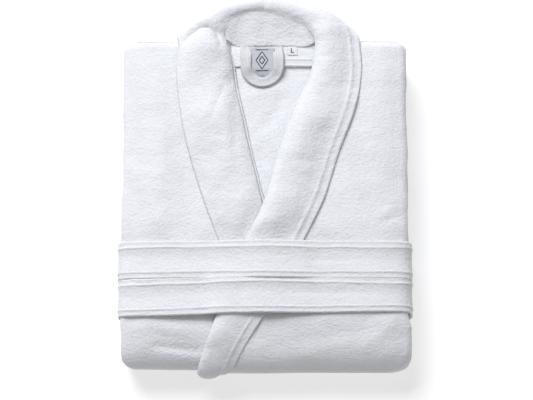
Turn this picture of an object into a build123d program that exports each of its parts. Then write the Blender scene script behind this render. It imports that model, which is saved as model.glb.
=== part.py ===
from build123d import *

import math
import os

# A terry bathrobe, folded for the shelf with its front up and its belt wound round it twice.
#
# +Z is up, +X is the wearer's left and +Y runs from the bottom fold to the collar. The origin is the middle
# of the bounding box at the surface that the robe lies on. Each piece of cloth is one closed solid.
#
# The body is folded as a laundry folds it. The sides are turned behind the back, the sleeves are laid down
# the back, the bottom third is folded up, and the double thickness is folded up once more. So every body
# panel runs along one folded route: front run, bottom fold, under run, top fold and inner run.

# Driving dimensions, in millimetres.
CLOTH = 3.2  # one layer of terry
SLACK = 0.3  # the air between two layers
FOLDED_WIDTH = 350.0
FOLDED_LENGTH = 407.0  # from the shoulder line to the bottom fold
COLLAR_RISE = 60.0  # the back collar beyond the shoulder line
COLLAR_HALF_WIDTH = 112.0
COLLAR_MIDDLE_X = 6.0
HOLLOW_RISE = 32.0  # the hollow behind the neck, inside the collar's roll
HOLLOW_HALF_WIDTH = 57.0
COLLAR_THICKNESS = 7.0  # the shawl collar is two layers
COLLAR_HEIGHT = 92.0  # top of the roll behind the neck, above the table
COLLAR_END_X = -55.0  # where the left collar goes round the bottom fold
COLLAR_END_WIDTH = 40.0
OVERLAP = 60.0  # how far each front passes the middle
BELT_WIDTH = 43.5
BELT_PITCH = 45.5
BELT_THICKNESS = 4.0
BELT_TOP_DROP = 252.0  # the belt's upper edge below the shoulder line
SLEEVE_WIDTH = 168.0
SLEEVE_LENGTH = 345.0
CUFF_LENGTH = 90.0
POCKET_WELT = 30.0
POCKET_LENGTH = 180.0
LOOP_STRAP = 11.4  # width of the hanging loop's strap

# Levels above the table.
PITCH = CLOTH + SLACK
SLAB = 5 * PITCH - SLACK  # front, front, back, turned back and turned front
UNDER_RUN_Z = BELT_THICKNESS + SLACK
INNER_RUN_Z = UNDER_RUN_Z + SLAB + 3.0
SLEEVE_Z = INNER_RUN_Z + SLAB + SLACK
FRONT_RUN_Z = SLEEVE_Z + 4 * PITCH
TOP_Z = FRONT_RUN_Z + SLAB
LINING_Z = TOP_Z - 2 * PITCH  # the back panel's inner face, which shows in the neck
INNER_TOP_Z = INNER_RUN_Z + SLAB

# Places along Y.
COLLAR_WRAP = SLACK + COLLAR_THICKNESS
OVERALL_LENGTH = COLLAR_RISE + FOLDED_LENGTH + COLLAR_WRAP
SHOULDER_Y = OVERALL_LENGTH / 2 - COLLAR_RISE
BOTTOM_RADIUS = (TOP_Z - UNDER_RUN_Z) / 2
BOTTOM_FOLD_Y = SHOULDER_Y - FOLDED_LENGTH + BOTTOM_RADIUS
BOTTOM_FOLD_Z = (TOP_Z + UNDER_RUN_Z) / 2
TOP_RADIUS = (INNER_TOP_Z - UNDER_RUN_Z) / 2
TOP_FOLD_Y = SHOULDER_Y - 6.0 - TOP_RADIUS
TOP_FOLD_Z = (INNER_TOP_Z + UNDER_RUN_Z) / 2
HEM_Y = BOTTOM_FOLD_Y - 5.0
BELT_TOP_Y = SHOULDER_Y - BELT_TOP_DROP

HALF_WIDTH = FOLDED_WIDTH / 2
SEAM_GAP = 1.5  # half the gap between the two side seams, which meet behind the back

# The shawl collar's edges as (x, distance below the shoulder line). The left side lies on top.
LEFT_ROLL = [(65, 0), (57, 46), (39.5, 83), (19, 138), (-4, 214), (-23, 251), (-56, 340), (-68.5, 373)]
LEFT_EDGE = [(115, 0), (118.5, 38), (112.5, 76), (89, 142), (72, 196), (45.5, 251), (-1, 340), (-21.5, 373)]
RIGHT_ROLL = [(-45, 0), (-39.5, 60), (-26.5, 95), (-14, 144), (-5, 205)]
RIGHT_EDGE = [(-105, 0), (-107.5, 33), (-105, 73), (-98, 116), (-80, 183), (-55, 251), (-44.5, 273)]
RIGHT_FRONT_EDGE = [(-51, 0), (-45.5, 60), (-32.5, 95), (-20, 144), (-10, 205), (14, 271), (OVERLAP, 357)]
FRONT_UNDER_ROLL = 6.0  # how far a front's edge hides under the collar's roll
BINDING_SHOWS = 9.0


def below(points, shift=0.0):
    """Points given by their drop below the shoulder line, moved sideways."""
    return [(x + shift, SHOULDER_Y - drop) for x, drop in points]


def slab(outline, low, high):
    """A flat piece with that outline, from one level to another."""
    face = make_face(Polyline(*outline, close=True))
    return extrude(Plane.XY.offset(low) * face, high - low)


def box(x0, x1, y0, y1, z0, z1):
    return Pos((x0 + x1) / 2, (y0 + y1) / 2, (z0 + z1) / 2) * Box(x1 - x0, y1 - y0, z1 - z0)


def ring(x0, x1, d0, d1, radius, hole_radius, wall):
    """A flattened tube of cloth in section; d is the depth below the outer face."""
    outer = RectangleRounded(x1 - x0, d1 - d0, radius)
    inner = RectangleRounded(x1 - x0 - 2 * wall, d1 - d0 - 2 * wall, hole_radius)
    return Pos((x0 + x1) / 2, (d0 + d1) / 2) * (outer - inner)


def strip(x0, x1, d0, d1):
    return Pos((x0 + x1) / 2, (d0 + d1) / 2) * Rectangle(x1 - x0, d1 - d0)


def folded(section):
    """Runs a panel's section along the folded route, and rounds the corners of the fold."""
    front = Plane((0, BOTTOM_FOLD_Y, TOP_Z), x_dir=(1, 0, 0), z_dir=(0, 1, 0)) * section
    under = Plane((0, TOP_FOLD_Y, UNDER_RUN_Z), x_dir=(1, 0, 0), z_dir=(0, -1, 0)) * section
    inner = Plane((0, TOP_FOLD_Y, INNER_TOP_Z), x_dir=(1, 0, 0), z_dir=(0, 1, 0)) * section
    bottom_axis = Axis((0, BOTTOM_FOLD_Y, BOTTOM_FOLD_Z), (1, 0, 0))
    top_axis = Axis((0, TOP_FOLD_Y, TOP_FOLD_Z), (1, 0, 0))
    panel = extrude(front, SHOULDER_Y - BOTTOM_FOLD_Y, dir=(0, 1, 0))
    panel += revolve(front, bottom_axis, 180)
    panel += extrude(under, TOP_FOLD_Y - BOTTOM_FOLD_Y, dir=(0, -1, 0))
    panel += revolve(under, top_axis, 180)
    panel += extrude(inner, TOP_FOLD_Y - HEM_Y, dir=(0, -1, 0))
    middle_y = SHOULDER_Y - FOLDED_LENGTH / 2
    plan = Pos(0, middle_y) * RectangleRounded(FOLDED_WIDTH, FOLDED_LENGTH, 25)
    return panel & extrude(plan, TOP_Z)


def back_panel():
    width = HALF_WIDTH - PITCH
    section = Pos(0, 3 * PITCH - SLACK / 2) * RectangleRounded(2 * width, 2 * PITCH - SLACK, CLOTH)
    section -= strip(-width + CLOTH, width - CLOTH, 3 * PITCH - SLACK, 3 * PITCH)
    section -= strip(-SEAM_GAP, SEAM_GAP, 3 * PITCH - SLACK, 4 * PITCH)
    return folded(section)


def front_section(depth, side):
    """A front goes from its edge round the side fold to the side seam behind the back."""
    radius = (SLAB - depth) / 2 - 0.6
    section = ring(-HALF_WIDTH, HALF_WIDTH, depth, SLAB, radius, CLOTH + SLACK / 2, CLOTH)
    middle = (depth + SLAB) / 2
    far = HALF_WIDTH + 1
    outer_cut = strip(-far, -OVERLAP, depth - 1, middle)
    inner_cut = strip(-far, SEAM_GAP, middle, SLAB + 1)
    if side < 0:
        outer_cut, inner_cut = (mirror(cut, about=Plane.YZ) for cut in (outer_cut, inner_cut))
    return section - outer_cut - inner_cut


def left_front_panel():
    panel = folded(front_section(0, 1))
    neck = below(LEFT_ROLL, FRONT_UNDER_ROLL)
    opening = [(-HALF_WIDTH, SHOULDER_Y + 1), (neck[0][0], SHOULDER_Y + 1), *neck, (-HALF_WIDTH, neck[-1][1])]
    return panel - slab(opening, LINING_Z, TOP_Z + 1)


def right_front_panel():
    panel = folded(front_section(PITCH, -1))
    neck = below(RIGHT_FRONT_EDGE)
    opening = [(HALF_WIDTH, SHOULDER_Y + 1), (neck[0][0], SHOULDER_Y + 1), *neck, (HALF_WIDTH, neck[-1][1])]
    return panel - slab(opening, LINING_Z, TOP_Z + 1)


def sleeve(side):
    """A sleeve lies flat, in two layers that a slit divides."""
    x0, x1 = SEAM_GAP, SEAM_GAP + SLEEVE_WIDTH
    y1 = SHOULDER_Y - 8
    y0 = y1 - SLEEVE_LENGTH
    low = SLEEVE_Z + PITCH
    tube = box(x0, x1, y0, y1, low, low + 2 * CLOTH + SLACK)
    tube -= box(x0 + CLOTH, x1 - CLOTH, y0 - 1, y1 + 1, low + CLOTH, low + PITCH)
    return tube if side > 0 else mirror(tube, about=Plane.YZ)


def cuff(side):
    """The turned-back cuff goes round the sleeve's end."""
    x0, x1 = SEAM_GAP, SEAM_GAP + SLEEVE_WIDTH
    y0 = SHOULDER_Y - 8 - SLEEVE_LENGTH
    high = SLEEVE_Z + 4 * PITCH - SLACK
    band = box(x0 - 1, x1 + 3, y0, y0 + CUFF_LENGTH, SLEEVE_Z, high)
    band -= box(x0 - SLACK, x1 + SLACK, y0 - 1, y0 + CUFF_LENGTH + 1, SLEEVE_Z + CLOTH, high - CLOTH)
    return band if side > 0 else mirror(band, about=Plane.YZ)


def arch(half_width, rise, power, steps=24):
    """A superellipse above the shoulder line; a power under 2 gives it straighter flanks."""
    points = []
    for step in range(steps + 1):
        turn = math.pi * step / steps
        across, up = math.cos(turn), math.sin(turn)
        x = math.copysign(abs(across) ** (2 / power), across)
        points.append((half_width * x, rise * abs(up) ** (2 / power)))
    return make_face(Polyline(*points, (-half_width, -20), (half_width, -20), close=True))


def back_collar(side, seam_x=1.0):
    """Half of the collar behind the neck: a rolled rim round a hollow, and the stand as its floor."""
    outer = arch(COLLAR_HALF_WIDTH, COLLAR_RISE, 1.7)
    inner = arch(HOLLOW_HALF_WIDTH, HOLLOW_RISE, 2.0)
    place = Pos(COLLAR_MIDDLE_X, SHOULDER_Y)
    rim = extrude(Plane.XY.offset(58) * place * (outer - inner), COLLAR_HEIGHT - 58)
    floor_low = LINING_Z - CLOTH
    floor = extrude(Plane.XY.offset(floor_low) * place * outer, CLOTH)
    far = 2 * COLLAR_HALF_WIDTH
    half = box(seam_x, far, SHOULDER_Y + SLACK, SHOULDER_Y + far, 0, far)
    if side < 0:
        half = box(-far, seam_x, SHOULDER_Y + SLACK, SHOULDER_Y + far, 0, far)
    return (rim + floor) & half


def left_collar():
    low = TOP_Z + SLACK
    outline = [(65, SHOULDER_Y + 14), *below(LEFT_ROLL), *below(LEFT_EDGE)[::-1], (113, SHOULDER_Y + 14)]
    collar = slab(outline, low, low + COLLAR_THICKNESS) + back_collar(1)
    section = Pos(COLLAR_END_X, -SLACK - COLLAR_THICKNESS / 2) * Rectangle(COLLAR_END_WIDTH, COLLAR_THICKNESS)
    end = Plane((0, BOTTOM_FOLD_Y, TOP_Z), x_dir=(1, 0, 0), z_dir=(0, 1, 0)) * section
    return collar + revolve(end, Axis((0, BOTTOM_FOLD_Y, BOTTOM_FOLD_Z), (1, 0, 0)), 100)


def right_collar():
    low = TOP_Z - PITCH + SLACK
    under = below([(-5.5, 214), (-24.5, 251), (-33, 273)])
    outline = [(-45, SHOULDER_Y + 14), *below(RIGHT_ROLL), *under]
    outline += [*below(RIGHT_EDGE)[::-1], (-102, SHOULDER_Y + 14)]
    return slab(outline, low, low + COLLAR_THICKNESS) + back_collar(-1)


def seam_binding(edge, start, end):
    """A flat tape along the seam between a front and the collar, on the robe's inside."""
    return slab([*below(edge, start), *below(edge, end)[::-1]], LINING_Z + SLACK, LINING_Z + SLACK + 2)


def neck_piece(x0, x1, top_drop, bottom_drop, low, thickness):
    low += LINING_Z
    return box(x0, x1, SHOULDER_Y - bottom_drop, SHOULDER_Y - top_drop, low, low + thickness)


def hanging_loop():
    """A strap bent into a U, sewn in at both ends."""
    middle, reach, drop = -3.6, 25.6, 57.0
    low = LINING_Z + 6.0
    eye = reach - LOOP_STRAP
    bend_y = SHOULDER_Y - drop + reach
    top_y = SHOULDER_Y - 1
    bend = Pos(middle, bend_y) * (Circle(reach) - Circle(eye))
    bend &= Pos(middle, bend_y - reach) * Rectangle(2 * reach, 2 * reach)
    strap = bend
    for side in (-1, 1):
        x = middle + side * (reach - LOOP_STRAP / 2)
        strap += Pos(x, (bend_y + top_y) / 2) * Rectangle(LOOP_STRAP, top_y - bend_y)
    return extrude(Plane.XY.offset(low) * strap, 3.5)


def pocket(x0, x1, low, thickness):
    """The pocket and the welt along its mouth, as two pieces."""
    mouth = -56.0
    welt = box(x0, x1, mouth, mouth + POCKET_WELT, low, low + thickness)
    bag = box(x0, x1, mouth + POCKET_WELT + SLACK, mouth + POCKET_LENGTH, low, low + thickness)
    return bag, welt


def belt_loop(side):
    loop = box(4, 12, BOTTOM_FOLD_Y + 14, BOTTOM_FOLD_Y + 74, UNDER_RUN_Z + SLAB + 0.5, INNER_RUN_Z - 0.5)
    return loop if side > 0 else mirror(loop, about=Plane.YZ)


def belt():
    """Two turns round the folded robe, a slanting run underneath, and a tail at each end."""
    high = TOP_Z + SLACK + COLLAR_THICKNESS + SLACK + BELT_THICKNESS
    half = HALF_WIDTH + SLACK + BELT_THICKNESS
    section = Pos(0, high / 2) * RectangleRounded(2 * half, high, 9)
    section -= Pos(0, high / 2) * RectangleRounded(
        2 * (half - BELT_THICKNESS), high - 2 * BELT_THICKNESS, 5
    )
    section -= strip(-160, 160, -1, BELT_THICKNESS + 0.01)
    upper, lower = BELT_TOP_Y, BELT_TOP_Y - BELT_PITCH
    solid = None
    for top in (upper, lower):
        turn = extrude(
            Plane((0, top, 0), x_dir=(1, 0, 0), z_dir=(0, -1, 0)) * section, BELT_WIDTH, dir=(0, -1, 0)
        )
        solid = turn if solid is None else solid + turn
    crossing = [(-161, lower), (-100, lower), (100, upper), (161, upper)]
    tail = [(161, lower), (150, lower), (40, lower - BELT_PITCH), (-150, lower - BELT_PITCH)]
    tuck = [(-161, upper), (-105, upper)]
    for route in (crossing, tail, tuck):
        edge = [(x, y - BELT_WIDTH) for x, y in route[::-1]]
        solid += slab([*route, *edge], 0, BELT_THICKNESS)
    return solid


left_pocket, left_pocket_welt = pocket(22, 162, 0, BELT_THICKNESS)
right_pocket, right_pocket_welt = pocket(-163, -OVERLAP - 2, UNDER_RUN_Z, CLOTH)

pieces = {
    "back_panel": back_panel(),
    "left_front_panel": left_front_panel(),
    "right_front_panel": right_front_panel(),
    "left_sleeve": sleeve(1),
    "right_sleeve": sleeve(-1),
    "left_cuff": cuff(1),
    "right_cuff": cuff(-1),
    "left_collar": left_collar(),
    "right_collar": right_collar(),
    "left_seam_binding": seam_binding(LEFT_ROLL[:4], 2, 2 + BINDING_SHOWS),
    "right_seam_binding": seam_binding(RIGHT_ROLL[:5], -5.0, BINDING_SHOWS),
    "back_neck_facing": neck_piece(-32, 55, 1, 31, SLACK, 2.0),
    "neck_tape": neck_piece(-32, 55, 20, 32, 2.6, 2.2),
    "neck_label": neck_piece(-21, 17, 1, 43, 5.1, 0.6),
    "size_tab": neck_piece(28, 40, 5, 17, 2.6, 0.8),
    "hanging_loop": hanging_loop(),
    "left_pocket": left_pocket,
    "right_pocket": right_pocket,
    "left_pocket_welt": left_pocket_welt,
    "right_pocket_welt": right_pocket_welt,
    "left_belt_loop": belt_loop(1),
    "right_belt_loop": belt_loop(-1),
    "belt": belt(),
}

os.makedirs("parts", exist_ok=True)
for name, piece in pieces.items():
    export_step(piece, f"parts/{name}.step")
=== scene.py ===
"""A folded terry bathrobe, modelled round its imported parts.

Every piece of cloth is worked out flat and stacked, in millimetres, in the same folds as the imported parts.
One gentle give, the settle function, then softens the whole stack at once, so that layers never cross.
"""

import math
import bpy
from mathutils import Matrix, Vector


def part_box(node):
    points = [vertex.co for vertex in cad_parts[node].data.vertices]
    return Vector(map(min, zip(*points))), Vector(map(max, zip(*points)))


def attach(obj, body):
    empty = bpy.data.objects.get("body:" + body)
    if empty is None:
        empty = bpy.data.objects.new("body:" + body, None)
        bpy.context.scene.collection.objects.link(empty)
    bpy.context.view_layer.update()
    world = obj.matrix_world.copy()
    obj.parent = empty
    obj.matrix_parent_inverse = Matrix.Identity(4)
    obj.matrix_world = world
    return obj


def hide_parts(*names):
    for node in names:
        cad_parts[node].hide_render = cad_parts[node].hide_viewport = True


bl_info = {
    "name": "Folded Bathrobe",
    "version": (1, 0, 0),
    "blender": (4, 5, 0),
    "location": "3D View > Sidebar > Bathrobe",
    "description": "Makes a folded terry bathrobe with a shawl collar and a belt wound round it",
    "category": "Add Mesh",
}

import bpy
import numpy as np
from bpy.props import FloatProperty, FloatVectorProperty, PointerProperty
from mathutils import Vector

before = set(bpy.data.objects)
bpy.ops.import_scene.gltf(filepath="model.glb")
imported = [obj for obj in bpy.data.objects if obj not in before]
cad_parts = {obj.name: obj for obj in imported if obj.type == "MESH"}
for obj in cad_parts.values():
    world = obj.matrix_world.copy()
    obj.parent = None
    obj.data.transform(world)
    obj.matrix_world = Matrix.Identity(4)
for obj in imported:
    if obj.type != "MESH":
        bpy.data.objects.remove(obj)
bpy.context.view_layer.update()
MM = 0.001


def box_mm(node):
    low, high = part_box(node)
    return np.array(low) / MM, np.array(high) / MM


# The folded stack, in millimetres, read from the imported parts.
FRONT_LOW, FRONT_HIGH = box_mm("left_front_panel")
HALF_WIDTH, SHOULDER, TOP = FRONT_HIGH
UNDER = FRONT_LOW[2]
CLOTH = 3.2
GAP = 0.3
PITCH = CLOTH + GAP
SLAB = 5 * PITCH - GAP
LINING = TOP - 2 * PITCH
INNER = UNDER + SLAB + 3.0
INNER_TOP = INNER + SLAB
FRONT_RUN = TOP - SLAB
FOLD_RADIUS = (TOP - UNDER) / 2
FOLD_Y = FRONT_LOW[1] + FOLD_RADIUS
FOLD_Z = (TOP + UNDER) / 2
TURN_RADIUS = (INNER_TOP - UNDER) / 2
TURN_Y = SHOULDER - 6.0 - TURN_RADIUS
TURN_Z = (INNER_TOP + UNDER) / 2
HEM_Y = FOLD_Y - 5.0
FLAT_RUN = SHOULDER - FOLD_Y
SEAM_GAP = 1.5
OVERLAP = 60.0
TOP_CORNER = 11.0
BOTTOM_CORNER = 24.0

# The belt's width, the step between its turns, its upper edge, and how high its middle lies underneath.
BELT_WIDTH = 43.6
BELT_PITCH = 45.5
BELT_TOP_Y = SHOULDER - 252.0
BELT_UNDER = 2.2
STRAP_WIDTH = 11.4

# Flat sizes of the cloth that don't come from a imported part, in metres.
ROBE_LENGTH = 1.20
FRONT_WIDTH = 0.40
BACK_WIDTH = 0.69
LEFT_COLLAR_LENGTH = 0.60
RIGHT_COLLAR_LENGTH = 0.42
LOOP_LENGTH = 0.112
TAB_SIZE = 0.012
BELT_LOOP_WIDTH = 0.010

# The edges of the shawl collar as (distance from the shoulder line, x), round the bottom fold too.
LEFT_ROLL = [(0, 65), (46, 57), (83, 39.5), (138, 19), (214, -4), (251, -23), (340, -56), (371, -68),
             (398, -77), (418, -81), (433, -76)]
LEFT_EDGE = [(0, 115), (38, 118.5), (76, 112.5), (142, 89), (196, 72), (251, 45.5), (340, -1), (371, -21),
             (398, -36), (418, -46), (433, -56)]
RIGHT_ROLL = [(0, -50), (20, -44), (60, -37.5), (95, -29.5), (144, -19), (185, -9), (210, -3), (225, -4.5),
              (241, -12), (273, -26)]
RIGHT_EDGE = [(0, -103.5), (33, -107.5), (73, -104.5), (116, -97.5), (183, -79), (251, -54), (273, -44.5)]
RIGHT_FRONT_EDGE = [(0, -51), (60, -45.5), (95, -37), (144, -26), (205, -12), (271, 14), (357, OVERLAP)]
FRONT_HIDES = 6.0
ARCH_MIDDLE = 6.0
# The collar's outline behind the neck, and the hollow inside its roll: half width, rise and power.
LEFT_ARCH = (110.0, 57.0, 1.6)
RIGHT_ARCH = (115.5, 57.0, 1.75)
LEFT_HOLLOW = (57.0, 33.0, 2.0)
RIGHT_HOLLOW = (57.0, 34.0, 2.6)


def length_setting(name, value, about):
    return FloatProperty(name=name, description=about, default=value, unit="LENGTH")


def colour_setting(name, value, about):
    return FloatVectorProperty(name=name, description=about, default=value, subtype="COLOR", size=3)


class RobeSizes(bpy.types.PropertyGroup):
    """How the cloth lies"""

    cloth: length_setting("Cloth", CLOTH * MM, "Thickness of one layer of terry")
    collar_cloth: length_setting("Collar cloth", 0.0037, "Thickness of the collar's double layer")
    belt_cloth: length_setting("Belt cloth", 0.0036, "Thickness of the belt")
    wave: length_setting("Waves", 0.0016, "Height of the slow waves in the stack")
    droop: length_setting("Droop", 0.0055, "How far the top edges sink at the sides")
    pull: length_setting("Belt pull", 0.0028, "How far the belt presses the stack down")
    fall: length_setting("Fall", 0.0115, "How far the front sinks towards the bottom fold")
    nap: length_setting("Nap", 0.00027, "Unevenness of the pile, as real shape")
    band: length_setting("Stitched band", 0.0115, "Width of the band along the collar's edge")


class RobeColours(bpy.types.PropertyGroup):
    """The colours of the cloth and the labels"""

    terry: colour_setting("Terry", (0.752, 0.755, 0.774), "Colour of the terry")
    belt: colour_setting("Belt", (0.738, 0.738, 0.752), "Colour of the belt's terry")
    loop: colour_setting("Loop", (0.60, 0.602, 0.615), "Colour of the hanging loop")
    tape: colour_setting("Tape", (0.80, 0.805, 0.83), "Colour of the woven tapes")
    label: colour_setting("Label", (0.62, 0.635, 0.675), "Ground of the neck label")
    thread: colour_setting("Thread", (0.03, 0.032, 0.05), "Thread of the motif and the letter")


class StageSettings(bpy.types.PropertyGroup):
    """The floor, the lights and the camera"""

    tilt: FloatProperty(name="Tilt", description="Camera's lean from straight down",
                        default=math.radians(11), subtype="ANGLE")
    distance: length_setting("Distance", 2.30, "Camera to robe")
    aim_x: length_setting("Aim X", 0.002, "Point the camera looks at")
    aim_y: length_setting("Aim Y", -0.0232, "Point the camera looks at")
    view_width: length_setting("View width", 0.649, "Width seen at the robe")
    key: FloatProperty(name="Key", description="Strength of the main light, in watts", default=118.5)
    sky: FloatProperty(name="Sky", description="Strength of the light from all round", default=0.30)
    floor: FloatProperty(name="Floor", description="How pale the floor is", default=0.56)
    glow: FloatProperty(name="Floor glow", description="Light that the floor adds by itself", default=0.53)


# ---------- smooth shapes


def smooth_line(knots, at):
    """A smooth line through knots of (position, value), read at the places asked for."""
    s = np.array([k[0] for k in knots], float)
    v = np.array([k[1] for k in knots], float)
    return hermite(s, v, np.asarray(at, float))


def hermite(s, v, at):
    slope = np.gradient(v, s, axis=0)
    i = np.clip(np.searchsorted(s, at) - 1, 0, len(s) - 2)
    h = s[i + 1] - s[i]
    t = np.clip((at - s[i]) / h, 0, 1)
    shape = (-1,) + (1,) * (v.ndim - 1)
    h, t = h.reshape(shape), t.reshape(shape)
    return (
        (2 * t**3 - 3 * t**2 + 1) * v[i]
        + (t**3 - 2 * t**2 + t) * h * slope[i]
        + (3 * t**2 - 2 * t**3) * v[i + 1]
        + (t**3 - t**2) * h * slope[i + 1]
    )


def blur(rows, times):
    for _ in range(times):
        rows[1:-1] = (rows[:-2] + 2 * rows[1:-1] + rows[2:]) / 4
    return rows


def running_total(lengths):
    return np.concatenate([[0], np.cumsum(lengths)])


def step(low, high, value):
    """0 below low, 1 above high and a smooth rise between; low may also be the higher one."""
    t = np.clip((value - low) / (high - low), 0, 1)
    return t * t * (3 - 2 * t)


def lattice(ix, iy, iz, seed):
    """A fixed random number from -1 to 1 at each whole-number point."""
    n = ix * 73856093 ^ iy * 19349663 ^ iz * 83492791 ^ seed * 2654435761
    n = (n ^ (n >> 13)) * 1274126177 & 0xFFFFFFFF
    n = (n ^ (n >> 16)) * 2246822519 & 0xFFFFFFFF
    return (n ^ (n >> 13)) % 100003 / 50001.5 - 1


def waves(x, y, z, seed, octaves=1):
    """Smooth random waves about one unit long, between about -1 and 1."""
    total, weight, size = 0.0, 1.0, 1.0
    x, y, z = np.broadcast_arrays(np.asarray(x, float), np.asarray(y, float), np.asarray(z, float))
    for octave in range(octaves):
        px, py, pz = x * size, y * size, z * size
        fx, fy, fz = np.floor(px), np.floor(py), np.floor(pz)
        tx, ty, tz = px - fx, py - fy, pz - fz
        tx, ty, tz = (t * t * t * (t * (t * 6 - 15) + 10) for t in (tx, ty, tz))
        ix, iy, iz = (f.astype(np.int64) + 4096 for f in (fx, fy, fz))
        value = 0.0
        for corner in range(8):
            cx, cy, cz = corner & 1, corner >> 1 & 1, corner >> 2
            share = (tx if cx else 1 - tx) * (ty if cy else 1 - ty) * (tz if cz else 1 - tz)
            value = value + share * lattice(ix + cx, iy + cy, iz + cz, seed + octave * 17)
        total = total + weight * value
        weight *= 0.5
        size *= 2.03
    return total


# Soft creases in the top of the stack: two ends as (x, distance below the shoulder), height and half width.
CREASES = [
    ((-132, 25), (-126, 215), 2.0, 13),
    ((-150, 60), (-146, 190), -1.2, 10),
    ((-100, 120), (-92, 215), -1.3, 12),
    ((-165, 150), (-120, 232), 1.3, 8),
    ((128, 60), (136, 200), 1.2, 16),
    ((150, 206), (174, 236), 2.4, 5),
    ((140, 222), (172, 205), -1.2, 6),
    ((100, 150), (118, 235), 1.0, 12),
    ((60, 215), (90, 236), 1.0, 9),
    ((-150, 350), (-95, 350), 1.8, 9),
    ((-132, 369), (-82, 375), -2.8, 5),
    ((-60, 375), (-140, 352), -1.6, 8),
    ((30, 338), (120, 326), 1.6, 10),
    ((10, 372), (110, 352), -1.4, 9),
    ((120, 372), (165, 330), 1.6, 9),
    ((-20, 60), (30, 48), 1.0, 9),
    ((0, 100), (24, 64), -1.2, 8),
]


def creases(x, y):
    """The height of the soft creases over each point of the top."""
    drop = SHOULDER - 8 - y
    height = 0.0
    for (x0, d0), (x1, d1), rise, half in CREASES:
        dx, dy = x1 - x0, d1 - d0
        along = ((x - x0) * dx + (drop - d0) * dy) / (dx * dx + dy * dy)
        near = np.clip(along, 0, 1)
        away = np.hypot(x - x0 - near * dx, drop - d0 - near * dy)
        swell = 0.6 + 0.4 * np.sin(math.pi * near)
        height = height + rise * swell * np.exp(-((away / half) ** 2))
    return height


def settle(points):
    """The give of the whole stack: soft sides, the belt's pull, the fall to the bottom fold, waves, creases.

    Its +X side also spreads out a little at the base, and more of it below the belt."""
    sizes = bpy.context.scene.robe_sizes
    x, y, z = points[..., 0], points[..., 1], points[..., 2]
    rise = np.clip(z / TOP, 0, 1.3)
    inside = step(0, 42, HALF_WIDTH + 3 - np.abs(x))
    droop = sizes.droop / MM * (1 - inside) ** 1.5 * rise**2
    belt_middle = BELT_TOP_Y - BELT_PITCH
    pull = sizes.pull / MM * np.exp(-(((y - belt_middle) / 52) ** 4)) * rise
    fall = sizes.fall / MM * step(BELT_TOP_Y - 1.5 * BELT_PITCH, FRONT_LOW[1] + 4, y) ** 1.2 * rise**1.2
    slow = waves(x / 85, y / 62, z / 150, 3) + 0.45 * waves(x / 34, y / 27, z / 90, 5)
    quick = 0.16 * waves(x / 15, y / 12, z / 40, 9)
    lift = creases(x, y) * step(40, TOP - 6, z)
    new_z = z - droop - pull - fall + sizes.wave / MM * (slow + quick) * rise + lift
    outer = step(70, HALF_WIDTH, np.abs(x))
    wobble = 1.7 * waves(y / 48, z / 17, np.sign(x) * 7.5, 11) + 0.7 * waves(y / 19, z / 12, x * 0, 12)
    base = 1.8 * step(50, 34, z)
    below_belt = 3.6 * step(BELT_TOP_Y - 88, BELT_TOP_Y - 106, y)
    new_x = x + np.sign(x) * outer * wobble + outer * (base + below_belt) * step(0, 60, x)
    ends = step(40, 0, SHOULDER - y) + step(60, 0, y - FRONT_LOW[1])
    new_y = y + 1.1 * np.clip(ends, 0, 1) * waves(x / 52, z / 20, y * 0, 21)
    return np.stack([new_x, new_y, new_z], axis=-1)


def square_ends(points):
    """Rounds the plan's corners, and closes the shoulder end of the top run over like a fold."""
    x, y, z = points[..., 0], points[..., 1], points[..., 2]
    corner = np.where(y > 0, TOP_CORNER, BOTTOM_CORNER)
    end = np.minimum(SHOULDER - y, y - FRONT_LOW[1])
    inset = np.clip(corner - end, 0, corner)
    shrink = corner - np.sqrt(np.clip(corner**2 - inset**2, 0, None))
    new_x = x - np.sign(x) * shrink * step(50, HALF_WIDTH, np.abs(x))
    roll = SLAB / 2
    near = np.clip((y - (SHOULDER - roll)) / roll, 0, 1)
    squeeze = np.sqrt(np.clip(1 - near**2, 0, 1)) * 0.93 + 0.07
    middle = FRONT_RUN + SLAB / 2
    top_run = z > FRONT_RUN - 1
    new_z = np.where(top_run, middle + (z - middle) * squeeze, z)
    return np.stack([new_x, y, new_z], axis=-1)


# ---------- meshes


def unit(vectors):
    return vectors / np.maximum(np.linalg.norm(vectors, axis=-1, keepdims=True), 1e-9)


def grid_of(x, y, z):
    """A grid of points, from coordinates that run along it, across it or neither."""
    return np.stack(np.broadcast_arrays(x, y, z), axis=-1)


def new_object(name, points, faces):
    """A smooth-shaded object from points in millimetres."""
    mesh = bpy.data.meshes.new(name)
    mesh.from_pydata((points * MM).tolist(), [], faces)
    mesh.validate()
    mesh.shade_smooth()
    piece = bpy.data.objects.new(name, mesh)
    bpy.context.collection.objects.link(piece)
    return piece


def sheet_normals(grid, closed):
    if closed:
        across = np.roll(grid, -1, axis=1) - np.roll(grid, 1, axis=1)
    else:
        across = np.gradient(grid, axis=1)
    along = np.gradient(grid, axis=0)
    return unit(np.cross(across, along)), unit(across), unit(along)


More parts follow.
